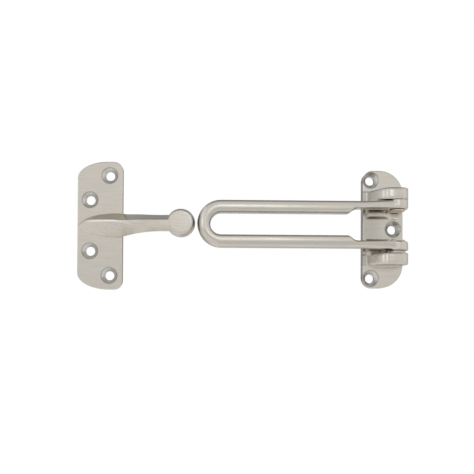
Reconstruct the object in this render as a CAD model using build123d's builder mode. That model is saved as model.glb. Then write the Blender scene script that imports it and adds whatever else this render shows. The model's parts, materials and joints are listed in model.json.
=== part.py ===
"""Swing bar door guard: a hinge plate with its swinging loop, and the ball stud plate it catches.

All sizes are in millimetres. The guard stands as it is screwed to a door and its frame: +Z is up,
+X runs from the stud plate towards the hinge plate, and the front faces -Y. Both plates have
their backs on Y = 0, and the origin is the centre of the hinge plate's back.
"""

import math
import os

from build123d import *

# Hinge plate
hinge_width = 25.0
hinge_height = 73.1
hinge_thickness = 5.0
hinge_inner_corner = 6.3  # corners on the side where the bar lies
hinge_outer_corner = 14.6
plate_edge_round = 0.5

# Countersunk screw holes, the same in both plates
screw_hole_diameter = 5.7
countersink_diameter = 10.0
countersink_angle = 90.0
hinge_outer_hole_x = -7.6
hinge_outer_hole_end = 5.95  # from the plate's end
hinge_middle_hole_x = 6.35

# Knuckle line of the hinge
pin_x = 7.05
pin_height = 11.4  # pin axis above the mounting face
knuckle_radius = 6.35
pin_diameter = 5.0
pin_head_diameter = 9.2
pin_head_thickness = 0.8
pin_head_chamfer = 0.2
pin_dimple_diameter = 4.4
pin_dimple_depth = 0.5
pin_end_recess = 0.25
pin_end_chamfer = 0.4

# Lugs that carry the pins
lug_gap = 32.4  # between the inner faces
lug_center_z = 0.3  # their middle, above the plate's centre
lug_thickness = 6.8
lug_foot_run = 2.85  # flat foot at the plate's edge, where the ramp starts
lug_foot_step = 0.4
lug_foot_round = 1.5
lug_ramp_run = 8.5
lug_crown_angle = 6.0  # lean of the crown towards the ramp
lug_crown_round = 5.0
lug_edge_chamfer = 0.25
lug_bore_overshoot = 1.0

# Raised pads between the lugs and the channel of the middle screw
pad_rise = 2.0
pad_inset = 1.7  # from the plate's edge
channel_width = 12.3
pad_slope_run = 2.0
pad_end_run = 1.1

# Swing bar
bar_length = 121.6  # pin axis to the outside of the loop
bar_width = 28.5
arm_width = 7.7
arm_depth = 6.0
crown_from_outside = 4.2  # the crown line of the front face
outer_shoulder_drop = 0.8
inner_shoulder_drop = 0.7
shoulder_round = 1.9
crown_round = 6.0
back_edge_round = 0.7
mouth_width = 19.5  # wide end of the slot, between the eyes
mouth_curve_start = 32.3  # from the pin axis
mouth_curve_end = 25.0
mouth_bevel = 1.1
eye_width = 30.55  # over the outer faces of both eyes
flare_start = 21.0  # the arms spread to the eyes from here
eye_inner_edge_round = 1.3  # beside the mouth
eye_outer_edge_round = 0.4
eye_underside_round = 2.0
web_run = 2.5  # the web behind the eye, along the arm
mouth_overshoot = 1.0

# Washer and running clearances
washer_thickness = 1.4
washer_diameter = 9.6
pin_clearance = 0.05  # radial, eye on pin
washer_clearance = 0.1  # radial, washer on pin
washer_side_clearance = 0.15
head_side_clearance = 0.15
knuckle_clearance = 0.4

# Stud plate
stud_gap = 1.4  # from the loop's tip to the ball, as the two stand side by side
stud_plate_z = 1.5
stud_width = 27.9
stud_height = 79.5
stud_thickness = 3.0
stud_sweep_width = 18.7  # the long elliptical corners on the far side
stud_sweep_height = 10.2
stud_near_corner = 5.6
stud_outer_hole_x = 5.9
stud_outer_hole_end = 8.65  # from the plate's end
stud_inner_hole_x = -6.2
stud_inner_hole_spacing = 31.8

# Arm and ball of the stud plate
ball_reach = 51.2  # plate centre to ball centre
ball_diameter = 17.1
ball_height = 12.9  # ball centre above the mounting face
ball_face_height = 17.8  # ground flat on the front of the ball
ball_face_round = 1.0
arm_under_share = 0.55  # half width of the underside, of the widest line's
arm_tip_inset = 0.5  # from the plate's far edge
arm_tip_sink = 0.4  # below the plate's front
arm_end_inset = 3.0  # from the ball's centre

# Values that follow from the sizes above
pin_radius = pin_diameter / 2
ball_radius = ball_diameter / 2
lug_top_z = lug_center_z + lug_gap / 2  # the inner faces of the upper and the lower lug
lug_low_z = lug_center_z - lug_gap / 2
bar_center_z = lug_low_z + washer_thickness + 2 * washer_side_clearance + eye_width / 2
eye_inner = mouth_width / 2
eye_outer = eye_width / 2
slot_width = bar_width - 2 * arm_width
bar_tip_x = pin_x - bar_length
stud_plate_x = bar_tip_x - stud_gap - ball_radius - ball_reach


def profile_plane(z):
    """Plane across the pin axis: its local x is +X and its local y runs to the front."""
    return Plane(origin=(0, 0, z), x_dir=(1, 0, 0), z_dir=(0, 0, -1))


def section_plane(x, z):
    """Plane across the X direction: its local x is +Z and its local y runs to the front."""
    return Plane(origin=(x, 0, z), x_dir=(0, 0, 1), z_dir=(1, 0, 0))


def on_front(x, z, height):
    """Location on a face at this height, with the local Z towards the front."""
    return Plane.XZ.offset(height) * Location((x, z, 0))


# Hinge plate, cast with its two lugs and the raised pads
edge_x = hinge_width / 2
hinge_outer_hole_z = hinge_height / 2 - hinge_outer_hole_end
pad_x = -edge_x + pad_inset
pad_height = hinge_thickness + pad_rise
lug_foot_height = hinge_thickness + lug_foot_step
lug_foot_x = -edge_x + lug_foot_run
ramp_x = lug_foot_x + lug_ramp_run
crown_height = pin_height + knuckle_radius
knuckle_side_height = pin_height - math.sqrt(knuckle_radius**2 - (edge_x - pin_x) ** 2)
knuckle_side_angle = math.degrees(math.asin((knuckle_side_height - pin_height) / knuckle_radius))
pad_top_inner = channel_width / 2 + pad_slope_run

# The pads slope down to the channel of the middle screw and have a sloped end
with BuildPart() as pads:
    with BuildSketch(section_plane(pad_x, 0)):
        for side, lug_z in ((1, lug_top_z), (-1, lug_low_z)):
            with BuildLine():
                Polyline(
                    (side * channel_width / 2, hinge_thickness),
                    (side * pad_top_inner, pad_height),
                    (lug_z, pad_height),
                    (lug_z, 0),
                    (side * channel_width / 2, 0),
                    close=True,
                )
            make_face()
    extrude(amount=pin_x - pad_x)
    with BuildSketch(profile_plane(lug_top_z)):
        with BuildLine():
            Polyline(
                (pad_x, 0),
                (pad_x, hinge_thickness),
                (pad_x + pad_end_run, pad_height),
                (pin_x, pad_height),
                (pin_x, 0),
                close=True,
            )
        make_face()
    extrude(amount=lug_gap, mode=Mode.INTERSECT)

# A lug ramps up from the plate's edge to a leaning crown that ends in the round knuckle
with BuildPart() as lug:
    with BuildSketch(profile_plane(lug_low_z)) as lug_profile:
        with BuildLine():
            crown_start = 90 + lug_crown_angle
            knuckle = CenterArc(
                (pin_x, pin_height), knuckle_radius, crown_start, knuckle_side_angle - crown_start
            )
            crown_run = (knuckle @ 0).X - ramp_x
            ramp_height = (knuckle @ 0).Y - crown_run * math.tan(math.radians(lug_crown_angle))
            Polyline(
                knuckle @ 0,
                (ramp_x, ramp_height),
                (lug_foot_x, lug_foot_height),
                (-edge_x, lug_foot_height),
                (-edge_x, 0),
                (edge_x, 0),
                knuckle @ 1,
            )
        make_face()
        fillet(lug_profile.vertices().sort_by_distance((ramp_x, ramp_height))[0], lug_crown_round)
        foot_corner = lug_profile.vertices().sort_by_distance((lug_foot_x, lug_foot_height))[0]
        fillet(foot_corner, lug_foot_round)
    extrude(amount=lug_thickness)
    lug_rims = lug.faces().filter_by(Axis.Z).edges()
    chamfer(lug_rims.filter_by(lambda edge: -edge.center().Y > lug_foot_height), lug_edge_chamfer)

with BuildPart() as hinge_plate:
    with BuildSketch(Plane.XZ) as hinge_outline:
        Rectangle(hinge_width, hinge_height)
        fillet(hinge_outline.vertices().group_by(Axis.X)[0], hinge_inner_corner)
        fillet(hinge_outline.vertices().group_by(Axis.X)[-1], hinge_outer_corner)
    extrude(amount=hinge_thickness)
    fillet(hinge_plate.faces().sort_by(Axis.Y)[0].edges(), plate_edge_round)

    # The pads and the plate are hollowed round the swinging eyes, beside the channel
    add(pads.part)
    for low, high in ((lug_low_z, -channel_width / 2), (channel_width / 2, lug_top_z)):
        with Locations((pin_x, -pin_height, (low + high) / 2)):
            Cylinder(knuckle_radius + knuckle_clearance, high - low, mode=Mode.SUBTRACT)

    add(lug.part)
    add(mirror(lug.part, about=Plane.XY.offset(lug_center_z)))

    with Locations(
        on_front(hinge_outer_hole_x, hinge_outer_hole_z, hinge_thickness),
        on_front(hinge_outer_hole_x, -hinge_outer_hole_z, hinge_thickness),
        on_front(hinge_middle_hole_x, 0, hinge_thickness),
    ):
        CounterSinkHole(
            screw_hole_diameter / 2,
            countersink_diameter / 2,
            counter_sink_angle=countersink_angle,
        )
    with Locations((pin_x, -pin_height, lug_center_z)):
        bore_length = lug_gap + 2 * lug_thickness + lug_bore_overshoot
        Cylinder(pin_radius, bore_length, mode=Mode.SUBTRACT)

hinge_plate.part.label = "hinge_plate"

# Stud plate, cast with its arm and ball
stud_x = stud_width / 2
stud_z = stud_height / 2
ball_x = stud_plate_x + ball_reach
ball_face_radius = math.sqrt(ball_radius**2 - (ball_face_height - ball_height) ** 2)


def stud_plane(height):
    """Plane in front of the stud plate's centre, with its local y up."""
    return Plane(origin=(stud_plate_x, -height, stud_plate_z), x_dir=(1, 0, 0), z_dir=(0, -1, 0))


# Stations of the arm, first along the plate and then from its edge to the ball. Each gives the
# distance from the plate centre, the height of the front face, of the widest line and of the
# underside, the upper and lower edge of the front face, the half width at the widest line and
# the round of the corners. The front face starts narrow and high, and widens downwards to the ball
ridge_stations = (
    (-stud_x + arm_tip_inset, stud_thickness - arm_tip_sink, 2.0, 1.0, 0.5, -0.1, 0.7, 0.1),
    (-8.2, 6.2, 2.7, 1.0, 2.5, 0.9, 4.6, 0.5),
    (0.0, 9.6, 2.8, 1.0, 2.5, 0.9, 6.9, 0.6),
    (7.4, 12.3, 2.9, 1.0, 2.1, 0.5, 7.7, 0.7),
    (stud_x, 14.4, 3.3, 1.0, 1.5, -0.3, 7.5, 0.8),
)
neck_stations = (
    (stud_x, 14.4, 3.3, 1.0, 1.5, -0.3, 7.5, 0.8),
    (20.0, 15.8, 7.0, 3.4, 1.4, -1.2, 6.4, 0.8),
    (26.0, 16.7, 10.2, 6.4, 1.4, -2.2, 5.8, 0.8),
    (33.0, 17.4, 12.1, 8.3, 1.3, -2.8, 5.25, 0.8),
    (40.5, 17.7, 12.8, 9.0, 1.3, -3.2, 5.05, 0.8),
    (ball_reach - arm_end_inset, ball_face_height, ball_height, 9.0, 1.3, -3.6, 4.95, 0.8),
)

with BuildPart() as stud_plate:
    with BuildSketch(stud_plane(0)) as stud_outline:
        with BuildLine():
            far_corner = EllipticalCenterArc(
                (-stud_x + stud_sweep_width, stud_z - stud_sweep_height),
                stud_sweep_width,
                stud_sweep_height,
                start_angle=90,
                arc_size=90,
            )
            near_corner = CenterArc(
                (stud_x - stud_near_corner, stud_z - stud_near_corner), stud_near_corner, 0, 90
            )
            Line(far_corner @ 0, near_corner @ 1)
            Line(near_corner @ 0, (stud_x, 0))
            Line(far_corner @ 1, (-stud_x, 0))
            mirror(about=Plane.XZ)
        make_face()
    extrude(amount=stud_thickness)
    fillet(stud_plate.faces().sort_by(Axis.Y)[0].edges(), plate_edge_round)

    # Screw holes are cut before the arm rises over the plate
    outer_z = stud_z - stud_outer_hole_end
    inner_z = stud_inner_hole_spacing / 2
    with Locations(
        stud_plane(stud_thickness) * Location((stud_outer_hole_x, outer_z, 0)),
        stud_plane(stud_thickness) * Location((stud_outer_hole_x, -outer_z, 0)),
        stud_plane(stud_thickness) * Location((stud_inner_hole_x, inner_z, 0)),
        stud_plane(stud_thickness) * Location((stud_inner_hole_x, -inner_z, 0)),
    ):
        CounterSinkHole(
            screw_hole_diameter / 2,
            countersink_diameter / 2,
            counter_sink_angle=countersink_angle,
        )

    # The arm grows out of the plate as a boat-shaped ridge and narrows to the neck of the ball
    for stations in (ridge_stations, neck_stations):
        for reach, front, widest, under, top, bottom, half_width, corner_round in stations:
            with BuildSketch(section_plane(stud_plate_x + reach, stud_plate_z)) as arm_outline:
                with BuildLine():
                    Polyline(
                        (top, front),
                        (half_width, widest),
                        (arm_under_share * half_width, under),
                        (-arm_under_share * half_width, under),
                        (-half_width, widest),
                        (bottom, front),
                        close=True,
                    )
                make_face()
                fillet(arm_outline.vertices(), corner_round)
        loft()

    # The ball is ground flat in front, level with the neck
    with BuildSketch(profile_plane(stud_plate_z)) as ball_profile:
        with BuildLine():
            ball_curve = ThreePointArc(
                (ball_x, ball_height - ball_radius),
                (ball_x + ball_radius, ball_height),
                (ball_x + ball_face_radius, ball_face_height),
            )
            Line(ball_curve @ 1, (ball_x, ball_face_height))
            Line((ball_x, ball_face_height), ball_curve @ 0)
        make_face()
        fillet(ball_profile.vertices().sort_by(Axis.X)[-1], ball_face_round)
    revolve(axis=Axis((ball_x, 0, stud_plate_z), (0, -1, 0)))

stud_plate.part.label = "stud_plate"

# Swing bar: a loop with a crowned front, whose arms end in the two eyes
half_arm = arm_width / 2
arm_front = pin_height + arm_depth
arm_line_z = bar_width / 2 - half_arm
loop_x = bar_tip_x + bar_width / 2
flare_x = pin_x - flare_start
mouth_start_x = pin_x - mouth_curve_start
mouth_end_x = pin_x - mouth_curve_end
mouth_open_x = pin_x + knuckle_radius + mouth_overshoot


def arm_section():
    """Section of the arm: its local x runs to the outside of the loop and its y to the front."""
    with BuildSketch() as section:
        with BuildLine():
            Polyline(
                (-half_arm, 0),
                (half_arm, 0),
                (half_arm, arm_depth - outer_shoulder_drop),
                (half_arm - crown_from_outside, arm_depth),
                (-half_arm, arm_depth - inner_shoulder_drop),
                close=True,
            )
        make_face()
        fillet(section.vertices().group_by(Axis.Y)[0], back_edge_round)
        fillet(section.vertices().sort_by(Axis.Y)[-3:-1], shoulder_round)
        fillet(section.vertices().sort_by(Axis.Y)[-1], crown_round)
    return section.sketch


def arm_plane(x, line_z):
    """Plane across the upper arm, its origin at the back of the arm's centre line."""
    origin = (x, -pin_height, bar_center_z + line_z)
    return Plane(origin=origin, x_dir=(0, 0, 1), z_dir=(1, 0, 0))


def mouth_plane(height):
    """Plane in front of the bar's middle, with its local y up."""
    return Plane(origin=(0, -height, bar_center_z), x_dir=(1, 0, 0), z_dir=(0, -1, 0))


def mouth_section(spread):
    """The slot from where it starts to widen to past the eyes, spread by this much at its start."""
    with BuildSketch() as section:
        with BuildLine():
            curve = Spline(
                (mouth_start_x, slot_width / 2 + spread),
                (mouth_end_x, eye_inner + spread),
                tangents=((1, 0), (1, 0)),
            )
            side = Line(curve @ 1, (mouth_open_x, eye_inner))
            Line(side @ 1, (mouth_open_x, 0))
            Line(curve @ 0, (mouth_start_x, 0))
            mirror(about=Plane.XZ)
        make_face()
    return section.sketch


with BuildPart() as swing_bar:
    # One half of the loop: the bend is turned about its centre and the straight is drawn from it
    with BuildSketch(arm_plane(loop_x, arm_line_z)) as bend_section:
        add(arm_section())
    revolve(axis=Axis((loop_x, 0, bar_center_z), (0, -1, 0)), revolution_arc=90)
    extrude(bend_section.sketch, amount=flare_x - loop_x)

    # From here the arm spreads a little to meet the wider eye
    with BuildSketch(arm_plane(flare_x, arm_line_z)):
        add(arm_section())
    with BuildSketch(arm_plane(pin_x, eye_outer - half_arm)):
        add(arm_section())
    loft(ruled=True)

    # The eye has rounded rims and a web that blends its underside into the back of the arm
    with BuildSketch(Plane.XZ.offset(pin_height)) as eye_profile:
        with Locations((pin_x, bar_center_z + eye_inner)):
            Rectangle(knuckle_radius, eye_outer - eye_inner, align=(Align.MIN, Align.MIN))
        inner_rim = eye_profile.vertices().group_by(Axis.X)[-1].sort_by(Axis.Y)[0]
        fillet(inner_rim, eye_inner_edge_round)
        outer_rim = eye_profile.vertices().group_by(Axis.X)[-1].sort_by(Axis.Y)[-1]
        fillet(outer_rim, eye_outer_edge_round)
    revolve(axis=Axis((pin_x, -pin_height, 0), (0, 0, 1)))
    with BuildSketch(profile_plane(bar_center_z + eye_outer - eye_outer_edge_round)) as web_profile:
        with Locations((pin_x, pin_height)):
            Circle(knuckle_radius)
            Rectangle(
                2 * (knuckle_radius + web_run),
                arm_depth - outer_shoulder_drop - shoulder_round,
                align=(Align.CENTER, Align.MIN),
            )
            Rectangle(
                2 * (knuckle_radius + web_run),
                2 * knuckle_radius,
                align=(Align.MIN, Align.CENTER),
                mode=Mode.SUBTRACT,
            )
        fillet(
            web_profile.vertices().group_by(Axis.X)[1].sort_by(Axis.Y)[0],
            eye_underside_round,
        )
    extrude(amount=eye_outer - eye_outer_edge_round - eye_inner - eye_inner_edge_round)
    mirror(about=Plane.XY.offset(bar_center_z))

    # The slot widens to the mouth between the eyes, and its front edge is bevelled at 45 degrees
    with BuildSketch(mouth_plane(0)):
        add(mouth_section(0))
    extrude(amount=2 * crown_height, mode=Mode.SUBTRACT)
    with BuildSketch(mouth_plane(arm_front - mouth_bevel)):
        add(mouth_section(0))
    with BuildSketch(mouth_plane(arm_front + mouth_bevel)):
        add(mouth_section(2 * mouth_bevel))
    loft(ruled=True, mode=Mode.SUBTRACT)

    with Locations((pin_x, -pin_height, bar_center_z)):
        Cylinder(pin_radius + pin_clearance, eye_width + mouth_overshoot, mode=Mode.SUBTRACT)

swing_bar.part.label = "swing_bar"

# Pivot pins, headed on the inside of the eyes and held in the lugs
pins = []
for name, side in (("upper_pin", 1), ("lower_pin", -1)):
    head_seat = side * bar_center_z + eye_inner - head_side_clearance
    head_face = head_seat - pin_head_thickness
    shank_end = side * lug_center_z + lug_gap / 2 + lug_thickness - pin_end_recess
    with BuildPart() as pin:
        with BuildSketch(Plane.XZ.offset(pin_height)) as pin_profile:
            with BuildLine():
                Polyline(
                    (pin_x, side * (head_face + pin_dimple_depth)),
                    (pin_x + pin_dimple_diameter / 2, side * head_face),
                    (pin_x + pin_head_diameter / 2, side * head_face),
                    (pin_x + pin_head_diameter / 2, side * head_seat),
                    (pin_x + pin_radius, side * head_seat),
                    (pin_x + pin_radius, side * (shank_end - pin_end_chamfer)),
                    (pin_x + pin_radius - pin_end_chamfer, side * shank_end),
                    (pin_x, side * shank_end),
                    close=True,
                )
            make_face()
            rim = pin_profile.vertices().group_by(Axis.X)[-1]
            chamfer(rim, pin_head_chamfer)
        revolve(axis=Axis((pin_x, -pin_height, 0), (0, 0, 1)))
    pin.part.label = name
    pins.append(pin)

# Washer between the lower eye and its lug
with BuildPart() as lower_washer:
    with BuildSketch(Plane.XY.offset(lug_low_z)):
        with Locations((pin_x, -pin_height)):
            Circle(washer_diameter / 2)
            Circle(pin_radius + washer_clearance, mode=Mode.SUBTRACT)
    extrude(amount=washer_thickness)

lower_washer.part.label = "lower_washer"

os.makedirs("parts", exist_ok=True)
for piece in (hinge_plate, stud_plate, swing_bar, *pins, lower_washer):
    export_step(piece.part, f"parts/{piece.part.label}.step")
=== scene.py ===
"""Finishes a swing bar door guard in satin nickel and brass, and lights it for a catalogue view.

The guard's castings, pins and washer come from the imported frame. Each operator below gives one of
them its finish, and the last one sets the floor, the soft light and the camera.
"""

import json
import math

import bpy
from bpy.props import FloatProperty, FloatVectorProperty, PointerProperty
from mathutils import Euler, Matrix, Vector


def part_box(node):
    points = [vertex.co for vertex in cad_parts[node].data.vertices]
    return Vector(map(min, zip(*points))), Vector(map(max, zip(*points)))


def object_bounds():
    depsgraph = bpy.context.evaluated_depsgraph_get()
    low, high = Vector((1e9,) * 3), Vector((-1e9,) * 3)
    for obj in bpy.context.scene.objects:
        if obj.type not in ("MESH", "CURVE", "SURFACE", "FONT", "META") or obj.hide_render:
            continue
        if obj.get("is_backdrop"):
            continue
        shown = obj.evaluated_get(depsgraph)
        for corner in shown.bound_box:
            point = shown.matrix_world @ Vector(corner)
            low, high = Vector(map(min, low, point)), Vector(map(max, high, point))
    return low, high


bl_info = {
    "name": "Door guard finishes",
    "version": (1, 0, 0),
    "blender": (4, 5, 0),
    "location": "View3D > Sidebar > Door guard",
    "description": "Satin nickel, brass and steel finishes for a swing bar door guard",
    "category": "Material",
}

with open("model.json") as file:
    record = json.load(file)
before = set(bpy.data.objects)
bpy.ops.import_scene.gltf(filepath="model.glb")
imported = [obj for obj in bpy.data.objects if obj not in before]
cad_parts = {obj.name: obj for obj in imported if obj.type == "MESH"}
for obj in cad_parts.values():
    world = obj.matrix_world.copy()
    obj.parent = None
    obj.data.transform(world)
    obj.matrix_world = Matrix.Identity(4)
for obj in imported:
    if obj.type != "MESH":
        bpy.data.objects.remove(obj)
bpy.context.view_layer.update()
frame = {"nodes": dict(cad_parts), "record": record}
MM = 0.001

# Depths along Y over which a finish sets in: off the plates' backs, off the fronts of the hinge
# plate and the stud plate, and where the castings stand proud of both plates
BACK_FADE = (-0.1 * MM, -0.3 * MM)
HINGE_FRONT_FADE = (-5.05 * MM, -5.35 * MM)
STUD_FRONT_FADE = (-3.05 * MM, -3.5 * MM)
PROUD_FADE = (-4 * MM, -7 * MM)

# The lugs of the hinge plate: ends of the ramp, the pin's line, how they lie above its middle, how
# softly their sides set in, and how steeply the ramp and the crown swell out at their ends
LUG_FOOT_X = -10.1 * MM
LUG_RAMP_X = -1.6 * MM
LUG_PIN_X = 6.9 * MM
LUG_MIDDLE_Z = 0.3 * MM
LUG_INNER = 16.2 * MM
LUG_OUTER = 23.0 * MM
LUG_SIDE_BLUR = 0.3 * MM
RAMP_SLOPE = 0.45
CROWN_SLOPE = 0.20

# Painted shade on the hinge plate: at its edge by the foot of the lugs, and on the face between
# them, up to some way from the lugs and fading towards the pins
PLATE_LEFT_X = -20 * MM
FOOT_BLUR = 0.5 * MM
BETWEEN_REACH = 3 * MM
BETWEEN_FADE = (-6 * MM, 1 * MM)
BETWEEN_LEAST = 0.25

# The loop, and the wear at its free end and along its inner edge: width and slope, how far round
# the end it reaches, and how far its middle is turned below straight left
LOOP_WIDTH = 28.5 * MM
LOOP_ARM_WIDTH = 7.7 * MM
TIP_WEAR_WIDTH = 5.2 * MM
TIP_WEAR_SLOPE = 0.80
TIP_WEAR_LEAN = (0.40, 0.92)
TIP_WEAR_TURN = math.radians(20)
EDGE_WEAR_WIDTH = 1.1 * MM
EDGE_WEAR_SLOPE = 1.3

# The stud's arm: its crest above the origin, and how its lower flank swells out, by the place
# where it is fullest, the run up to it, the start and end of the run down, and the slope
ARM_CREST_Z = 1.0 * MM
ARM_SWELL_X = -158 * MM
ARM_SWELL_RISE = 14 * MM
ARM_SWELL_FALL = (5 * MM, 19 * MM)
ARM_SWELL_SLOPE = 0.32

# Screw holes: how far inside the countersink's edge the wall sets in, and how wide the rim of
# painted shade is
HOLE_WALL = (-0.05 * MM, 0.15 * MM)
HOLE_RIM = (0.1 * MM, 0.45 * MM)

# Brush lines: scale and share in the height of the fine and the broad ones, and the noise levels
# between which a broad one becomes a streak
FINE_SCALE, FINE_SHARE = 1.0, 0.6
BROAD_SCALE, BROAD_SHARE = 0.3, 0.8
STREAK_RANGE = (0.36, 0.66)

# The castings: noise scale, in cells a metre, of patches, waves and specks, the noise levels
# between which they show, and the depth of the waves
PATCH_SCALE, PATCH_RANGE = 85.0, (0.35, 0.65)
SPECK_SCALE, SPECK_RANGE = 1500.0, (0.62, 0.72)
WAVE_SCALE, WAVE_DEPTH = 190.0, 0.04 * MM

# How far a normal leans where the edge polish and its painted highlight set in, how far a face
# turns from the front before it gets painted shade, and the occlusion levels over which hollows get
# it
POLISH_LEAN = (0.995, 0.90)
FRONT_LEAN = (-0.15, -0.55)
OPEN_SHARE = (0.2, 0.75)

# Shares of streaks, specks, the painted edge highlight and the painted shade in the colour of the
# plating, the tones of streaks and of the painted edge highlight against it, and the parts of
# streaks and edge polish in its roughness
STREAK_SHARE = 0.45
SPECK_SHARE = 0.15
POLISH_HIGHLIGHT_SHARE = 0.55
SIDE_SHADE = 0.3
HOLLOW_SHADE = 0.4
RIM_SHADE = 0.8
FOOT_SHADE = 0.5
BETWEEN_SHADE = 0.4
STREAK_TONE = 0.82
POLISH_HIGHLIGHT_TONE = 1.18
STREAK_ROUGHNESS = 0.08
POLISH_ROUGHNESS = 0.07

# Pins: spacing, length and depth of the turning marks, and what the tarnish does to colour and
# roughness. Washer: share and tone of its dull patches, and how rough its specks are
TURNING_SPACING = 0.6 * MM
TURNING_LENGTH = 0.2 * MM
TURNING_DEPTH = 0.008 * MM
TARNISH_SHARE = 0.45
TARNISH_ROUGHNESS = 0.15
WASHER_PATCH_SHARE = 0.4
WASHER_PATCH_TONE = 0.7
WASHER_SPECK_ROUGHNESS = 0.1

# Brightness of the studio as the metal sees it, by the angle above straight ahead of the guard,
# then from its left to its right, and how far to a side the second takes over
ROOM_LEVELS = (
    (-180, 0.35), (-120, 0.80), (-90, 0.95), (-45, 0.85), (-20, 0.66), (-8, 0.72), (4, 0.80),
    (16, 0.85), (33, 0.79), (45, 0.70), (60, 0.35), (80, 0.22), (105, 0.30), (130, 0.42),
    (180, 0.35),
)
SIDE_LEVELS = (
    (-180, 0.35), (-125, 0.42), (-95, 0.60), (-75, 0.72), (-62, 1.0), (-38, 1.0), (-20, 0.80),
    (0, 0.76), (30, 0.80), (77, 0.90), (95, 0.76), (125, 0.60), (160, 0.45), (180, 0.35),
)
SIDE_BLEND = (0.35, 0.7)

# The floor: half its side, its brightness from front to back as the metal sees it, its glow, and
# the grey card on it by its level, its front and back, its left end and the blur of its edges
FLOOR_REACH = 3.0
FLOOR_LEVELS = (
    (0.0, 0.30), (0.30, 0.40), (0.44, 0.75), (0.54, 0.74), (0.60, 0.60), (1.0, 0.50),
)
FLOOR_GLOW = 0.66
CARD_LEVEL = 0.34
CARD_Y = (0.06, 0.40)
CARD_LEFT_X = (-0.19, -0.13)
CARD_BLUR = 0.03

# White, as the camera sees the room and the glow of the floor, the greys of the room and of the
# floor as they light the object, and the grey of the floor as it is seen under its glow
WHITE = (1.0, 1.0, 1.0)
ROOM_GREY = (0.8, 0.8, 0.8)
FLOOR_GREY = (0.85, 0.85, 0.85)
GLOWING_FLOOR_GREY = (0.45, 0.45, 0.45)

# The lamps: place from the middle of the guard and side of the square
KEY_LAMP_PLACE, KEY_LAMP_SIDE = (0.04, -0.95, 0.31), 0.26
LEFT_LAMP_PLACE, LEFT_LAMP_SIDE = (-0.80, -0.62, 0.16), 0.30
LAMP_COLOUR = (0.92, 0.97, 1.0)


class SatinNickelSettings(bpy.types.PropertyGroup):
    """Satin nickel plating, brushed after plating"""

    plating: FloatVectorProperty(
        name="Plating", description="Colour of the nickel", subtype="COLOR",
        size=3, min=0, max=1, default=(0.712, 0.655, 0.578),
    )
    cool_plating: FloatVectorProperty(
        name="Cool plating", description="Colour of the nickel in its cooler patches",
        subtype="COLOR", size=3, min=0, max=1, default=(0.678, 0.660, 0.600),
    )
    # Painted shade: the dark colour mixed in on faces turned from the front, in hollows, at the
    # countersinks' rims and beside the lugs.
    shaded_plating: FloatVectorProperty(
        name="Shaded plating", description="Colour of the nickel where the brush didn't reach",
        subtype="COLOR", size=3, min=0, max=1, default=(0.34, 0.32, 0.285),
    )
    # Reach of the ambient occlusion that paints shade into hollows.
    hollow_shade_reach: FloatProperty(
        name="Hollow reach", description="Distance over which a neighbour keeps the brush off",
        subtype="DISTANCE", unit="LENGTH", min=0.0005, max=0.02, default=0.0015,
    )
    roughness: FloatProperty(
        name="Roughness", description="Mean roughness of the brushed face",
        subtype="FACTOR", min=0, max=1, default=0.25,
    )
    line_spacing: FloatProperty(
        name="Line spacing", description="Mean distance between brush lines",
        subtype="DISTANCE", unit="LENGTH", min=0.00005, max=0.002, default=0.00022,
    )
    line_length: FloatProperty(
        name="Line length", description="Mean length of the finest brush lines",
        subtype="DISTANCE", unit="LENGTH", min=0.001, max=0.1, default=0.005,
    )
    line_depth: FloatProperty(
        name="Line depth", description="Depth of the brush lines",
        subtype="DISTANCE", unit="LENGTH", min=0, max=0.0002, default=0.000008,
    )
    lug_softness: FloatProperty(
        name="Lug softness", description="Width over which the polishing softened the lugs' edges",
        subtype="DISTANCE", unit="LENGTH", min=0, max=0.006, default=0.0028,
    )
    arm_softness: FloatProperty(
        name="Arm softness", description="Width over which the stud's crest looks rounded",
        subtype="DISTANCE", unit="LENGTH", min=0, max=0.006, default=0.0009,
    )
    bar_softness: FloatProperty(
        name="Bar softness", description="Width over which the bar's edges look rounded",
        subtype="DISTANCE", unit="LENGTH", min=0, max=0.006, default=0.0011,
    )
    countersink: FloatVectorProperty(
        name="Countersink", description="Colour of the bright plating in the countersinks",
        subtype="COLOR", size=3, min=0, max=1, default=(0.67, 0.655, 0.625),
    )
    countersink_radius: FloatProperty(
        name="Countersink radius", description="Radius of the countersinks at the face",
        subtype="DISTANCE", unit="LENGTH", min=0.001, max=0.01, default=0.005,
    )
    # The edge polish also paints a highlight along the edges, as a brighter colour.
    edge_width: FloatProperty(
        name="Edge width", description="Width of the polish along the edges",
        subtype="DISTANCE", unit="LENGTH", min=0, max=0.002, default=0.0004,
    )


class BrassSettings(bpy.types.PropertyGroup):
    """Turned brass of the pivot pins"""

    metal: FloatVectorProperty(
        name="Metal", description="Colour of clean brass", subtype="COLOR",
        size=3, min=0, max=1, default=(0.86, 0.78, 0.64),
    )
    tarnish: FloatVectorProperty(
        name="Tarnish", description="Colour of tarnished brass", subtype="COLOR",
        size=3, min=0, max=1, default=(0.55, 0.46, 0.33),
    )
    roughness: FloatProperty(
        name="Roughness", description="Roughness of the turned face",
        subtype="FACTOR", min=0, max=1, default=0.28,
    )


class WasherSettings(bpy.types.PropertyGroup):
    """Stamped washer"""

    metal: FloatVectorProperty(
        name="Metal", description="Colour of the washer", subtype="COLOR",
        size=3, min=0, max=1, default=(0.62, 0.58, 0.52),
    )
    roughness: FloatProperty(
        name="Roughness", description="Roughness of the washer",
        subtype="FACTOR", min=0, max=1, default=0.35,
    )


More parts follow.
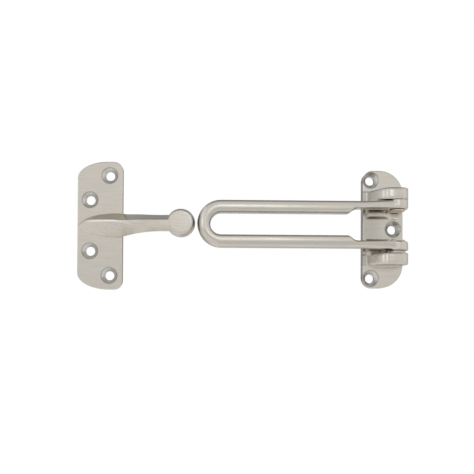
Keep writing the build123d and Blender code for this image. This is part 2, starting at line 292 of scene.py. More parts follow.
class StageSettings(bpy.types.PropertyGroup):
    """Floor, light and camera"""

    eye: FloatVectorProperty(
        name="Eye", description="Place of the camera", subtype="TRANSLATION", unit="LENGTH",
        size=3, default=(-0.0948, -0.3349, -0.0568),
    )
    yaw: FloatProperty(
        name="Yaw", description="Turn of the camera to the right of straight ahead",
        subtype="ANGLE", unit="ROTATION", default=math.radians(0.781),
    )
    pitch: FloatProperty(
        name="Pitch", description="Tilt of the camera upwards",
        subtype="ANGLE", unit="ROTATION", default=math.radians(0.768),
    )
    roll: FloatProperty(
        name="Roll", description="Roll of the camera, anticlockwise seen from behind it",
        subtype="ANGLE", unit="ROTATION", default=math.radians(0.31),
    )
    lens: FloatProperty(
        name="Lens", description="Focal length on a sensor 36 mm wide",
        unit="CAMERA", min=10, max=200, default=40.55,
    )
    rise: FloatProperty(
        name="Rise", description="Shift of the lens upwards, as a share of the picture's width",
        min=-0.5, max=0.5, default=0.16,
    )
    floor_drop: FloatProperty(
        name="Floor drop", description="Height of the floor below the origin",
        subtype="DISTANCE", unit="LENGTH", min=0.05, max=2, default=0.25,
    )
    side_power: FloatProperty(
        name="Side power", description="Power of the soft lamp at the left",
        subtype="POWER", unit="POWER", min=0, max=50, default=0.14,
    )
    key_power: FloatProperty(
        name="Key power", description="Power of the soft lamp behind the camera",
        subtype="POWER", unit="POWER", min=0, max=50, default=0.19,
    )


def group_tree(name, inputs, outputs):
    """A new shader node group with float or vector sockets, and its two end nodes."""
    tree = bpy.data.node_groups.new(name, "ShaderNodeTree")
    for label, kind, default in inputs:
        socket = tree.interface.new_socket(name=label, in_out="INPUT", socket_type=kind)
        if default is not None:
            socket.default_value = default
    for label, kind in outputs:
        tree.interface.new_socket(name=label, in_out="OUTPUT", socket_type=kind)
    return tree, tree.nodes.new("NodeGroupInput"), tree.nodes.new("NodeGroupOutput")


def feed(tree, socket, value):
    """Links a socket to another one, or sets it to a plain value."""
    if isinstance(value, bpy.types.NodeSocket):
        tree.links.new(value, socket)
    else:
        socket.default_value = value


def math_node(tree, operation, first, second=None):
    """A Math node whose inputs are sockets or numbers."""
    node = tree.nodes.new("ShaderNodeMath")
    node.operation = operation
    feed(tree, node.inputs[0], first)
    if second is not None:
        feed(tree, node.inputs[1], second)
    return node.outputs[0]


def product(tree, first, *others):
    """Multiplies sockets and numbers."""
    for other in others:
        first = math_node(tree, "MULTIPLY", first, other)
    return first


def diagonal(tree, first, second):
    """The distance that two sockets make as the legs of a right angle."""
    squares = math_node(tree, "ADD", product(tree, first, first), product(tree, second, second))
    return math_node(tree, "SQRT", squares)


def spread_range(tree, value, low, high, to_low=0.0, to_high=1.0):
    """A Map Range node that clamps its value to the given range."""
    node = tree.nodes.new("ShaderNodeMapRange")
    node.inputs["From Min"].default_value = low
    node.inputs["From Max"].default_value = high
    node.inputs["To Min"].default_value = to_low
    node.inputs["To Max"].default_value = to_high
    tree.links.new(value, node.inputs["Value"])
    return node.outputs["Result"]


def noise_node(tree, vector, scale, detail, rough):
    """A noise texture read along a vector socket."""
    node = tree.nodes.new("ShaderNodeTexNoise")
    node.inputs["Scale"].default_value = scale
    node.inputs["Detail"].default_value = detail
    node.inputs["Roughness"].default_value = rough
    tree.links.new(vector, node.inputs["Vector"])
    return node.outputs["Fac"]


def parts_of(tree, vector):
    """The X, Y and Z sockets of a vector socket, by their letters."""
    node = tree.nodes.new("ShaderNodeSeparateXYZ")
    tree.links.new(vector, node.inputs[0])
    return node.outputs


def vector_of(tree, **parts):
    """A vector socket from sockets named by their letters. A part that isn't given stays 0."""
    node = tree.nodes.new("ShaderNodeCombineXYZ")
    for letter, value in parts.items():
        tree.links.new(value, node.inputs[letter])
    return node.outputs[0]


def bump_node(tree, height, depth, normal=None, strength=1.0):
    """The normal of a surface whose height socket, times a depth, changes the normal given."""
    node = tree.nodes.new("ShaderNodeBump")
    node.inputs["Distance"].default_value = depth
    feed(tree, node.inputs["Strength"], strength)
    tree.links.new(height, node.inputs["Height"])
    if normal is not None:
        tree.links.new(normal, node.inputs["Normal"])
    return node.outputs["Normal"]


def bulge(tree, value, low, high, slope):
    """A parabola between two values that starts with the given slope and ends with its opposite."""
    share = spread_range(tree, value, low, high)
    rest = math_node(tree, "SUBTRACT", 1.0, share)
    return product(tree, share, rest, slope * (high - low))


def within(tree, value, low, high, blur):
    """A mask that is 1 between two values."""
    above = spread_range(tree, value, low - blur, low + blur)
    below = spread_range(tree, value, high - blur, high + blur, 1.0, 0.0)
    return product(tree, above, below)


def brushed_grain():
    """Node group: fine lines along the vector's X, closely spaced along its Y and Z."""
    name = "Brushed grain"
    if name in bpy.data.node_groups:
        return bpy.data.node_groups[name]
    tree, start, end = group_tree(
        name,
        (
            ("Vector", "NodeSocketVector", None),
            ("Spacing", "NodeSocketFloat", 0.0002),
            ("Length", "NodeSocketFloat", 0.012),
        ),
        (("Height", "NodeSocketFloat"), ("Streak", "NodeSocketFloat")),
    )
    part = parts_of(tree, start.outputs["Vector"])
    lines = vector_of(
        tree,
        X=math_node(tree, "DIVIDE", part["X"], start.outputs["Length"]),
        Y=math_node(tree, "DIVIDE", part["Y"], start.outputs["Spacing"]),
        Z=math_node(tree, "DIVIDE", part["Z"], start.outputs["Spacing"]),
    )
    fine = noise_node(tree, lines, FINE_SCALE, 2.0, 0.6)
    broad = noise_node(tree, lines, BROAD_SCALE, 3.0, 0.65)
    height = math_node(tree, "ADD", product(tree, fine, FINE_SHARE),
                       product(tree, broad, BROAD_SHARE))
    tree.links.new(height, end.inputs["Height"])
    tree.links.new(spread_range(tree, broad, *STREAK_RANGE), end.inputs["Streak"])
    return tree


def along_the_loop():
    """Node group: turns a place on the bar into its way along the loop, across it and its depth."""
    name = "Along the loop"
    if name in bpy.data.node_groups:
        return bpy.data.node_groups[name]
    tree, start, end = group_tree(
        name,
        (
            ("Vector", "NodeSocketVector", None),
            ("Bend X", "NodeSocketFloat", 0.0),
            ("Bend Z", "NodeSocketFloat", 0.0),
            ("Radius", "NodeSocketFloat", 0.01),
        ),
        (("Vector", "NodeSocketVector"),),
    )
    part = parts_of(tree, start.outputs["Vector"])
    forth = math_node(tree, "SUBTRACT", part["X"], start.outputs["Bend X"])
    rise = math_node(tree, "SUBTRACT", part["Z"], start.outputs["Bend Z"])
    back = product(tree, math_node(tree, "MINIMUM", forth, 0.0), -1.0)
    across = diagonal(tree, back, rise)
    turn = math_node(tree, "ARCTAN2", math_node(tree, "ABSOLUTE", rise), back)
    arc = product(tree, math_node(tree, "SUBTRACT", turn, math.pi / 2), start.outputs["Radius"])
    along = math_node(tree, "ADD", math_node(tree, "MAXIMUM", forth, 0.0), arc)
    tree.links.new(vector_of(tree, X=along, Y=across, Z=part["Y"]), end.inputs["Vector"])
    return tree


def edge_polish_and_highlight():
    """Node group: a mask that is 1 along edges, from how far a rounded normal leans, for polish and
    painted highlight.
    """
    name = "Edge polish"
    if name in bpy.data.node_groups:
        return bpy.data.node_groups[name]
    tree, start, end = group_tree(
        name, (("Width", "NodeSocketFloat", 0.0004),), (("Mask", "NodeSocketFloat"),)
    )
    bevel = tree.nodes.new("ShaderNodeBevel")
    bevel.samples = 6
    tree.links.new(start.outputs["Width"], bevel.inputs["Radius"])
    surface = tree.nodes.new("ShaderNodeNewGeometry")
    lean = tree.nodes.new("ShaderNodeVectorMath")
    lean.operation = "DOT_PRODUCT"
    tree.links.new(bevel.outputs["Normal"], lean.inputs[0])
    tree.links.new(surface.outputs["Normal"], lean.inputs[1])
    tree.links.new(spread_range(tree, lean.outputs["Value"], *POLISH_LEAN), end.inputs["Mask"])
    return tree


def painted_shade_masks():
    """Node group: masks for painted shade, from how a face lies and how open it lies."""
    name = "Brush reach"
    if name in bpy.data.node_groups:
        return bpy.data.node_groups[name]
    tree, start, end = group_tree(
        name,
        (("Distance", "NodeSocketFloat", 0.004),),
        (("Front", "NodeSocketFloat"), ("Open", "NodeSocketFloat")),
    )
    place = tree.nodes.new("ShaderNodeTexCoord")
    part = parts_of(tree, place.outputs["Normal"])
    tree.links.new(spread_range(tree, part["Y"], *FRONT_LEAN), end.inputs["Front"])
    hollow = tree.nodes.new("ShaderNodeAmbientOcclusion")
    hollow.samples = 8
    tree.links.new(start.outputs["Distance"], hollow.inputs["Distance"])
    tree.links.new(spread_range(tree, hollow.outputs["AO"], *OPEN_SHARE), end.inputs["Open"])
    return tree


def lug_form():
    """Node group: the lugs' crowned faces as a height, and masks of painted shade beside them."""
    name = "Lug form"
    if name in bpy.data.node_groups:
        return bpy.data.node_groups[name]
    tree, start, end = group_tree(
        name,
        (("Vector", "NodeSocketVector", None),),
        (
            ("Height", "NodeSocketFloat"),
            ("Strength", "NodeSocketFloat"),
            ("Foot", "NodeSocketFloat"),
            ("Between", "NodeSocketFloat"),
        ),
    )
    part = parts_of(tree, start.outputs["Vector"])
    ramp = bulge(tree, part["X"], LUG_FOOT_X, LUG_RAMP_X, RAMP_SLOPE)
    crown = bulge(tree, part["X"], LUG_RAMP_X, LUG_PIN_X, CROWN_SLOPE)
    tree.links.new(math_node(tree, "ADD", ramp, crown), end.inputs["Height"])
    rise = math_node(tree, "SUBTRACT", part["Z"], LUG_MIDDLE_Z)
    away = math_node(tree, "ABSOLUTE", rise)
    in_lug = within(tree, away, LUG_INNER, LUG_OUTER, LUG_SIDE_BLUR)
    proud = spread_range(tree, part["Y"], *HINGE_FRONT_FADE)
    tree.links.new(product(tree, in_lug, proud), end.inputs["Strength"])
    front = spread_range(tree, part["Y"], *BACK_FADE)
    foot = within(tree, part["X"], PLATE_LEFT_X, LUG_FOOT_X, FOOT_BLUR)
    tree.links.new(product(tree, in_lug, foot, front), end.inputs["Foot"])
    between = spread_range(tree, away, LUG_INNER - BETWEEN_REACH, LUG_INNER, 1.0, 0.0)
    fading = spread_range(tree, part["X"], *BETWEEN_FADE, 1.0, BETWEEN_LEAST)
    tree.links.new(product(tree, between, fading, front), end.inputs["Between"])
    return tree


def full_arm():
    """Node group: a height that fills out the arm's lower flank beside the stud plate's edge."""
    name = "Full arm"
    if name in bpy.data.node_groups:
        return bpy.data.node_groups[name]
    tree, start, end = group_tree(
        name,
        (("Vector", "NodeSocketVector", None),),
        (("Height", "NodeSocketFloat"), ("Strength", "NodeSocketFloat")),
    )
    part = parts_of(tree, start.outputs["Vector"])
    drop = math_node(tree, "SUBTRACT", ARM_CREST_Z, part["Z"])
    below = math_node(tree, "MAXIMUM", drop, 0.0)
    rise = spread_range(tree, part["X"], ARM_SWELL_X - ARM_SWELL_RISE, ARM_SWELL_X)
    fall = spread_range(tree, part["X"], *(ARM_SWELL_X + run for run in ARM_SWELL_FALL), 1.0, 0.0)
    tree.links.new(product(tree, below, rise, fall, ARM_SWELL_SLOPE), end.inputs["Height"])
    tree.links.new(spread_range(tree, part["Y"], *STUD_FRONT_FADE), end.inputs["Strength"])
    return tree


def worn_loop():
    """Node group: a height that falls off at the loop's free end and along its inner edge."""
    name = "Worn loop"
    if name in bpy.data.node_groups:
        return bpy.data.node_groups[name]
    tree, start, end = group_tree(
        name,
        (
            ("Vector", "NodeSocketVector", None),
            ("Bend X", "NodeSocketFloat", 0.0),
            ("Bend Z", "NodeSocketFloat", 0.0),
            ("Outer", "NodeSocketFloat", 0.014),
            ("Inner", "NodeSocketFloat", 0.007),
        ),
        (("Height", "NodeSocketFloat"),),
    )
    part = parts_of(tree, start.outputs["Vector"])
    back = math_node(tree, "SUBTRACT", start.outputs["Bend X"], part["X"])
    fall = math_node(tree, "SUBTRACT", start.outputs["Bend Z"], part["Z"])
    reach = diagonal(tree, math_node(tree, "MAXIMUM", back, 0.0), fall)
    lean = math_node(tree, "ADD", product(tree, back, math.cos(TIP_WEAR_TURN)),
                     product(tree, fall, math.sin(TIP_WEAR_TURN)))
    facing = spread_range(tree, math_node(tree, "DIVIDE", lean, reach), *TIP_WEAR_LEAN)
    outside = math_node(tree, "SUBTRACT", start.outputs["Outer"], reach)
    tip = spread_range(tree, outside, TIP_WEAR_WIDTH, 0.0)
    tip_drop = product(tree, tip, tip, -TIP_WEAR_SLOPE * TIP_WEAR_WIDTH / 2, facing)
    inside = math_node(tree, "SUBTRACT", reach, start.outputs["Inner"])
    edge = spread_range(tree, inside, EDGE_WEAR_WIDTH, 0.0)
    edge_drop = product(tree, edge, edge, -EDGE_WEAR_SLOPE * EDGE_WEAR_WIDTH / 2)
    tree.links.new(math_node(tree, "ADD", tip_drop, edge_drop), end.inputs["Height"])
    return tree


def screw_holes():
    """Node group: masks for the walls and the rims of the countersunk holes."""
    name = "Screw holes"
    if name in bpy.data.node_groups:
        return bpy.data.node_groups[name]
    tree, start, end = group_tree(
        name,
        (("Vector", "NodeSocketVector", None), ("Radius", "NodeSocketFloat", 0.005)),
        (("Wall", "NodeSocketFloat"), ("Rim", "NodeSocketFloat")),
    )
    part = parts_of(tree, start.outputs["Vector"])
    flat = vector_of(tree, X=part["X"], Z=part["Z"])
    nearest = None
    for x, z in hole_centres():
        gap = tree.nodes.new("ShaderNodeVectorMath")
        gap.operation = "DISTANCE"
        tree.links.new(flat, gap.inputs[0])
        gap.inputs[1].default_value = (x, 0.0, z)
        reach = gap.outputs["Value"]
        nearest = reach if nearest is None else math_node(tree, "MINIMUM", nearest, reach)
    inward = math_node(tree, "SUBTRACT", start.outputs["Radius"], nearest)
    front = spread_range(tree, part["Y"], *BACK_FADE)
    wall = spread_range(tree, inward, *HOLE_WALL)
    tree.links.new(product(tree, wall, front), end.inputs["Wall"])
    rim = spread_range(tree, math_node(tree, "ABSOLUTE", inward), *HOLE_RIM, 1.0, 0.0)
    tree.links.new(product(tree, rim, front), end.inputs["Rim"])
    return tree


def hole_centres():
    """The x and z of every screw hole, from the record's mounts."""
    centres = []
    for mount in frame["record"]["mounts"]:
        if "screw" not in mount["name"]:
            continue
        x, _, z = mount["pos_m"]
        half = mount["dims"].get("spacing_y_mm", 0) * MM / 2
        centres += [(x, z + half), (x, z - half)] if half else [(x, z)]
    return centres


def cast_mottle():
    """Node group: the slow waviness and patchiness of a plated casting."""
    name = "Cast mottle"
    if name in bpy.data.node_groups:
        return bpy.data.node_groups[name]
    tree, start, end = group_tree(
        name,
        (("Vector", "NodeSocketVector", None),),
        (("Patch", "NodeSocketFloat"), ("Wave", "NodeSocketFloat"), ("Speck", "NodeSocketFloat")),
    )
    vector = start.outputs["Vector"]
    patch = noise_node(tree, vector, PATCH_SCALE, 2.0, 0.45)
    wave = noise_node(tree, vector, WAVE_SCALE, 2.0, 0.4)
    speck = noise_node(tree, vector, SPECK_SCALE, 2.0, 0.6)
    tree.links.new(spread_range(tree, patch, *PATCH_RANGE), end.inputs["Patch"])
    tree.links.new(wave, end.inputs["Wave"])
    tree.links.new(spread_range(tree, speck, *SPECK_RANGE), end.inputs["Speck"])
    return tree


def new_material(name, plain_colour):
    """A material with a Principled shader, its tree and the place on the surface."""
    material = bpy.data.materials.new(name)
    material.use_nodes = True
    material.diffuse_color = (*plain_colour, 1.0)
    tree = material.node_tree
    shader = tree.nodes["Principled BSDF"]
    place = tree.nodes.new("ShaderNodeTexCoord")
    return material, tree, shader, place.outputs["Object"]


def use_group(tree, group, **values):
    """Places a node group and sets its inputs from sockets or numbers."""
    node = tree.nodes.new("ShaderNodeGroup")
    node.node_tree = group
    for label, value in values.items():
        feed(tree, node.inputs[label.replace("_", " ")], value)
    return node


def mix_colours(tree, share, first, second):
    """Mixes two colours, each a socket or a plain colour, by a share socket."""
    node = tree.nodes.new("ShaderNodeMix")
    node.data_type = "RGBA"
    tree.links.new(share, node.inputs[0])
    for place, colour in ((6, first), (7, second)):
        plain = not isinstance(colour, bpy.types.NodeSocket)
        feed(tree, node.inputs[place], (*colour, 1.0) if plain else colour)
    return node.outputs[2]


def satin_nickel(name, route, soften, form, drilled):
    """Satin nickel whose brush lines run along the X of the vector that route() gives.

    soften() gives the width over which the edges look rounded, and form() a height, its strength
    and a mask of painted shade. A drilled piece has countersunk screw holes.
    """
    settings = bpy.context.scene.door_guard_nickel
    material, tree, shader, place = new_material(name, settings.plating)
    grain = use_group(tree, brushed_grain(), Vector=route(tree, place),
                      Spacing=settings.line_spacing, Length=settings.line_length)
    mottle = use_group(tree, cast_mottle(), Vector=place)
    polish = use_group(tree, edge_polish_and_highlight(), Width=settings.edge_width)
    reach = use_group(tree, painted_shade_masks(), Distance=settings.hollow_shade_reach)
    height, strength, shade_mask = form(tree, place)

    plating = mix_colours(tree, mottle.outputs["Patch"], settings.plating, settings.cool_plating)
    dark = [STREAK_TONE * part for part in settings.plating]
    lined = mix_colours(tree, product(tree, grain.outputs["Streak"], STREAK_SHARE), plating, dark)
    specked = mix_colours(tree, product(tree, mottle.outputs["Speck"], SPECK_SHARE), lined, dark)
    # Painted highlight: edges get a brighter colour; their lower roughness below is real polish.
    bright = [min(1.0, POLISH_HIGHLIGHT_TONE * part) for part in settings.plating]
    brushed = mix_colours(tree, product(tree, polish.outputs["Mask"], POLISH_HIGHLIGHT_SHARE),
                          specked, bright)

    # Painted shade: darker plating on faces that turn from the front and in hollows, by ambient
    # occlusion.
    side = spread_range(tree, reach.outputs["Front"], 0.0, 1.0, SIDE_SHADE, 0.0)
    hollow = spread_range(tree, reach.outputs["Open"], 0.0, 1.0, HOLLOW_SHADE, 0.0)
    shade_share = math_node(tree, "MAXIMUM", side, hollow)
    if shade_mask is not None:
        shade_share = math_node(tree, "MAXIMUM", shade_share, shade_mask)
    if drilled:
        holes = use_group(tree, screw_holes(), Vector=place, Radius=settings.countersink_radius)
        brushed = mix_colours(tree, holes.outputs["Wall"], brushed, settings.countersink)
        # Painted shade: a darker ring along each countersink's rim.
        shade_share = math_node(tree, "MAXIMUM", shade_share,
                              product(tree, holes.outputs["Rim"], RIM_SHADE))
    coloured = mix_colours(tree, shade_share, brushed, settings.shaded_plating)
    tree.links.new(coloured, shader.inputs["Base Color"])

    shader.inputs["Metallic"].default_value = 1.0
    streaked = math_node(tree, "ADD", settings.roughness - STREAK_ROUGHNESS / 2,
                         product(tree, grain.outputs["Streak"], STREAK_ROUGHNESS))
    smooth = math_node(tree, "SUBTRACT", streaked,
                       product(tree, polish.outputs["Mask"], POLISH_ROUGHNESS))
    tree.links.new(smooth, shader.inputs["Roughness"])

    rounded = tree.nodes.new("ShaderNodeBevel")
    rounded.samples = 12
    tree.links.new(soften(tree, place), rounded.inputs["Radius"])
    formed = bump_node(tree, height, 1.0, rounded.outputs["Normal"], strength)
    wavy = bump_node(tree, mottle.outputs["Wave"], WAVE_DEPTH, formed)
    lines = bump_node(tree, grain.outputs["Height"], settings.line_depth, wavy)
    tree.links.new(lines, shader.inputs["Normal"])
    return material


def raised_edges(width):
    """A function that gives an edge width for what stands proud of the plates, and 0 on them."""
    def softness(tree, place):
        return spread_range(tree, parts_of(tree, place)["Y"], *PROUD_FADE, 0.0, width)

    return softness


def give_finish(nodes, material):
    """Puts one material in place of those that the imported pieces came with."""
    for node in nodes:
        mesh = frame["nodes"][node].data
        mesh.materials.clear()
        mesh.materials.append(material)


class DOORGUARD_OT_finish_hinge_plate(bpy.types.Operator):
    """Brush the hinge plate across its width"""

    bl_idname = "door_guard.finish_hinge_plate"
    bl_label = "Finish hinge plate"

    def execute(self, context):
        settings = context.scene.door_guard_nickel

        def form(tree, place):
            lugs = use_group(tree, lug_form(), Vector=place)
            # Painted shade at the plate's edge by the foot of the lugs and on the face between
            # them.
            foot = product(tree, lugs.outputs["Foot"], FOOT_SHADE)
            between = product(tree, lugs.outputs["Between"], BETWEEN_SHADE)
            shade_mask = math_node(tree, "MAXIMUM", foot, between)
            return lugs.outputs["Height"], lugs.outputs["Strength"], shade_mask

        material = satin_nickel("Hinge plate nickel", lambda tree, place: place,
                                raised_edges(settings.lug_softness), form, drilled=True)
        give_finish(["hinge_plate"], material)
        return {"FINISHED"}


class DOORGUARD_OT_finish_stud_plate(bpy.types.Operator):
    """Brush the stud plate, its arm and its ball across the plate's width"""

    bl_idname = "door_guard.finish_stud_plate"
    bl_label = "Finish stud plate"

    def execute(self, context):
        settings = context.scene.door_guard_nickel

        def form(tree, place):
            arm = use_group(tree, full_arm(), Vector=place)
            return arm.outputs["Height"], arm.outputs["Strength"], None

        material = satin_nickel("Stud plate nickel", lambda tree, place: place,
                                raised_edges(settings.arm_softness), form, drilled=True)
        give_finish(["stud_plate"], material)
        return {"FINISHED"}


class DOORGUARD_OT_finish_swing_bar(bpy.types.Operator):
    """Brush the swing bar along its loop"""

    bl_idname = "door_guard.finish_swing_bar"
    bl_label = "Finish swing bar"

    def execute(self, context):
        settings = context.scene.door_guard_nickel
        low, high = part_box("swing_bar")
        bend = {"Bend_X": low.x + LOOP_WIDTH / 2, "Bend_Z": (low.z + high.z) / 2}

        def route(tree, place):
            way = use_group(tree, along_the_loop(), Vector=place, **bend,
                            Radius=(LOOP_WIDTH - LOOP_ARM_WIDTH) / 2)
            return way.outputs["Vector"]

        def form(tree, place):
            worn = use_group(tree, worn_loop(), Vector=place, **bend, Outer=LOOP_WIDTH / 2,
                             Inner=LOOP_WIDTH / 2 - LOOP_ARM_WIDTH)
            return worn.outputs["Height"], 1.0, None

        material = satin_nickel("Swing bar nickel", route, raised_edges(settings.bar_softness),
                                form, drilled=False)
        give_finish(["swing_bar"], material)
        return {"FINISHED"}


class DOORGUARD_OT_finish_pins(bpy.types.Operator):
    """Turn the pivot pins in lightly tarnished brass"""

    bl_idname = "door_guard.finish_pins"
    bl_label = "Finish pins"

    def execute(self, context):
        settings = context.scene.door_guard_brass
        material, tree, shader, place = new_material("Pin brass", settings.metal)
        part = parts_of(tree, place)
        turned = vector_of(tree, X=part["Z"], Y=part["X"], Z=part["Y"])
        grain = use_group(tree, brushed_grain(), Vector=turned,
                          Spacing=TURNING_SPACING, Length=TURNING_LENGTH)
        mottle = use_group(tree, cast_mottle(), Vector=place)
        stain = product(tree, mottle.outputs["Patch"], TARNISH_SHARE)
        colour = mix_colours(tree, stain, settings.metal, settings.tarnish)
        tree.links.new(colour, shader.inputs["Base Color"])
        shader.inputs["Metallic"].default_value = 1.0
        rough = math_node(tree, "ADD", settings.roughness,
                          product(tree, mottle.outputs["Patch"], TARNISH_ROUGHNESS))
        tree.links.new(rough, shader.inputs["Roughness"])
        lines = bump_node(tree, grain.outputs["Height"], TURNING_DEPTH)
        tree.links.new(lines, shader.inputs["Normal"])
        give_finish(["upper_pin", "lower_pin"], material)
        return {"FINISHED"}


class DOORGUARD_OT_finish_washer(bpy.types.Operator):
    """Finish the washer as stamped and plated steel"""

    bl_idname = "door_guard.finish_washer"
    bl_label = "Finish washer"

    def execute(self, context):
        settings = context.scene.door_guard_washer
        material, tree, shader, place = new_material("Washer steel", settings.metal)
        mottle = use_group(tree, cast_mottle(), Vector=place)
        dull = [WASHER_PATCH_TONE * part for part in settings.metal]
        stain = product(tree, mottle.outputs["Patch"], WASHER_PATCH_SHARE)
        colour = mix_colours(tree, stain, settings.metal, dull)
        tree.links.new(colour, shader.inputs["Base Color"])
        shader.inputs["Metallic"].default_value = 1.0
        rough = math_node(tree, "ADD", settings.roughness,
                          product(tree, mottle.outputs["Speck"], WASHER_SPECK_ROUGHNESS))
        tree.links.new(rough, shader.inputs["Roughness"])
        give_finish(["lower_washer"], material)
        return {"FINISHED"}


def shown_rays(tree):
    """A Light Path node, and a socket that is 1 for camera, glossy and transmission rays."""
    rays = tree.nodes.new("ShaderNodeLightPath")
    seen = math_node(tree, "MAXIMUM", rays.outputs["Is Camera Ray"], rays.outputs["Is Glossy Ray"])
    return rays, math_node(tree, "MAXIMUM", seen, rays.outputs["Is Transmission Ray"])


def level_ramp(tree, value, stops):
    """A colour ramp through grey levels, each given as a position and a level."""
    ramp = tree.nodes.new("ShaderNodeValToRGB")
    elements = ramp.color_ramp.elements
    while len(elements) > 1:
        elements.remove(elements[-1])
    for place, (position, level) in enumerate(stops):
        element = elements.new(position) if place else elements[0]
        element.position = position
        element.color = (level, level, level, 1.0)
    tree.links.new(value, ramp.inputs["Fac"])
    return ramp.outputs["Color"]


def levels_around(tree, first, second, stops):
    """Grey levels by the angle in degrees that two parts of a direction make."""
    share = spread_range(tree, math_node(tree, "ARCTAN2", first, second), -math.pi, math.pi)
    return level_ramp(tree, share, [((angle + 180) / 360, level) for angle, level in stops])


def lit_room():
    """The world: white to the camera, and to the metal a studio with a shaded ceiling."""
    world = bpy.data.worlds.new("Studio")
    world.use_nodes = True
    bpy.context.scene.world = world
    tree = world.node_tree
    background = tree.nodes["Background"]
    rays, seen = shown_rays(tree)
    way = tree.nodes.new("ShaderNodeTexCoord")
    part = parts_of(tree, way.outputs["Generated"])
    front = product(tree, part["Y"], -1.0)
    around = levels_around(tree, part["Z"], front, ROOM_LEVELS)
    sides = levels_around(tree, part["X"], front, SIDE_LEVELS)
    far_side = spread_range(tree, math_node(tree, "ABSOLUTE", part["X"]), *SIDE_BLEND)
    room = mix_colours(tree, far_side, around, sides)
    glossy = mix_colours(tree, rays.outputs["Is Glossy Ray"], WHITE, room)
    tree.links.new(mix_colours(tree, seen, ROOM_GREY, glossy), background.inputs["Color"])


def lay_floor(settings):
    """A plain pale floor under the guard. It shows white to the camera, but keeps a shadow.

    The metal sees it fall off to the back, with a grey card behind the bar.
    """
    reach = FLOOR_REACH
    corners = [(-reach, -reach, 0), (reach, -reach, 0), (reach, reach, 0), (-reach, reach, 0)]
    mesh = bpy.data.meshes.new("Floor")
    mesh.from_pydata(corners, [], [(0, 1, 2, 3)])
    floor = bpy.data.objects.new("Floor", mesh)
    floor.location.z = -settings.floor_drop
    bpy.context.scene.collection.objects.link(floor)
    material, tree, shader, place = new_material("Pale floor", (0.9, 0.9, 0.9))
    rays, seen = shown_rays(tree)
    part = parts_of(tree, place)
    levels = level_ramp(tree, spread_range(tree, part["Y"], -reach, reach), FLOOR_LEVELS)
    card = product(tree, within(tree, part["Y"], *CARD_Y, CARD_BLUR),
                   spread_range(tree, part["X"], *CARD_LEFT_X))
    reflected = mix_colours(tree, card, levels, (CARD_LEVEL,) * 3)
    glow = mix_colours(tree, rays.outputs["Is Glossy Ray"], WHITE, reflected)
    tree.links.new(mix_colours(tree, seen, FLOOR_GREY, GLOWING_FLOOR_GREY),
                   shader.inputs["Base Color"])
    shader.inputs["Roughness"].default_value = 0.9
    shader.inputs["Specular IOR Level"].default_value = 0.0
    tree.links.new(glow, shader.inputs["Emission Color"])
    tree.links.new(product(tree, seen, FLOOR_GLOW), shader.inputs["Emission Strength"])
    mesh.materials.append(material)
    floor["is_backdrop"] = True


def hang_lamp(name, middle, place, side, power):
    """A square soft lamp that faces the guard's middle, a little cooler than the room."""
    data = bpy.data.lights.new(name, "AREA")
    data.color = LAMP_COLOUR
    data.shape = "SQUARE"
    data.size = side
    data.energy = power
    lamp = bpy.data.objects.new(name, data)
    lamp.location = middle + Vector(place)
    lamp.rotation_euler = (-Vector(place)).to_track_quat("-Z", "Y").to_euler()
    bpy.context.scene.collection.objects.link(lamp)


def set_camera(settings):
    """The camera at the photograph's place and angle."""
    data = bpy.data.cameras.new("Camera")
    data.sensor_width = 36.0
    data.lens = settings.lens
    data.shift_y = settings.rise
    data.clip_start = 0.01
    data.clip_end = 20.0
    camera = bpy.data.objects.new("Camera", data)
    aim = Euler((math.pi / 2 + settings.pitch, 0.0, -settings.yaw), "XYZ").to_matrix()
    roll = Matrix.Rotation(settings.roll, 3, "Z")
    camera.rotation_euler = (aim @ roll).to_euler()
    camera.location = settings.eye
    bpy.context.scene.collection.objects.link(camera)
    bpy.context.scene.camera = camera


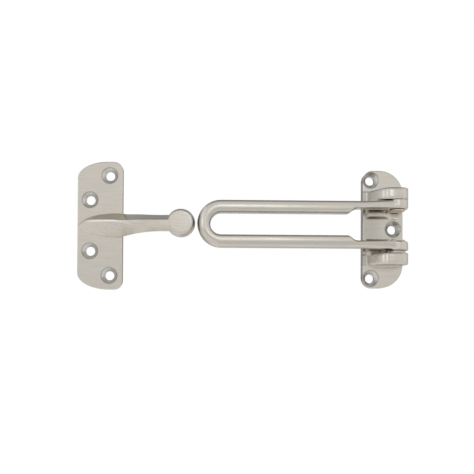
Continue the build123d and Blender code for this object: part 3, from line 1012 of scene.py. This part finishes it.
class DOORGUARD_OT_set_stage(bpy.types.Operator):
    """Lay the floor, light the room and place the camera"""

    bl_idname = "door_guard.set_stage"
    bl_label = "Set stage"

    def execute(self, context):
        settings = context.scene.door_guard_stage
        low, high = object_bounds()
        middle = (low + high) / 2
        lit_room()
        lay_floor(settings)
        hang_lamp("Key lamp", middle, KEY_LAMP_PLACE, KEY_LAMP_SIDE, settings.key_power)
        hang_lamp("Left lamp", middle, LEFT_LAMP_PLACE, LEFT_LAMP_SIDE, settings.side_power)
        set_camera(settings)
        context.scene.view_settings.view_transform = "Standard"
        return {"FINISHED"}


class DOORGUARD_PT_finishes(bpy.types.Panel):
    """Lists the finishes of the door guard and its stage"""

    bl_label = "Door guard"
    bl_idname = "DOORGUARD_PT_finishes"
    bl_space_type = "VIEW_3D"
    bl_region_type = "UI"
    bl_category = "Door guard"

    def draw(self, context):
        layout = self.layout
        for operator in OPERATORS:
            layout.operator(operator.bl_idname)
        for group in (
            context.scene.door_guard_nickel,
            context.scene.door_guard_brass,
            context.scene.door_guard_washer,
            context.scene.door_guard_stage,
        ):
            box = layout.box()
            for name in group.__annotations__:
                box.prop(group, name)


SETTINGS = {
    "door_guard_nickel": SatinNickelSettings,
    "door_guard_brass": BrassSettings,
    "door_guard_washer": WasherSettings,
    "door_guard_stage": StageSettings,
}
OPERATORS = (
    DOORGUARD_OT_finish_hinge_plate,
    DOORGUARD_OT_finish_stud_plate,
    DOORGUARD_OT_finish_swing_bar,
    DOORGUARD_OT_finish_pins,
    DOORGUARD_OT_finish_washer,
    DOORGUARD_OT_set_stage,
)


def register():
    """Registers the settings, operators and panel."""
    for name, group in SETTINGS.items():
        bpy.utils.register_class(group)
        setattr(bpy.types.Scene, name, PointerProperty(type=group))
    for operator in OPERATORS:
        bpy.utils.register_class(operator)
    bpy.utils.register_class(DOORGUARD_PT_finishes)


def unregister():
    """Undoes register()."""
    bpy.utils.unregister_class(DOORGUARD_PT_finishes)
    for operator in reversed(OPERATORS):
        bpy.utils.unregister_class(operator)
    for name, group in SETTINGS.items():
        delattr(bpy.types.Scene, name)
        bpy.utils.unregister_class(group)


def main():
    """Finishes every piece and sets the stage."""
    register()
    bpy.ops.door_guard.finish_hinge_plate()
    bpy.ops.door_guard.finish_stud_plate()
    bpy.ops.door_guard.finish_swing_bar()
    bpy.ops.door_guard.finish_pins()
    bpy.ops.door_guard.finish_washer()
    bpy.ops.door_guard.set_stage()


if __name__ == "__main__":
    main()
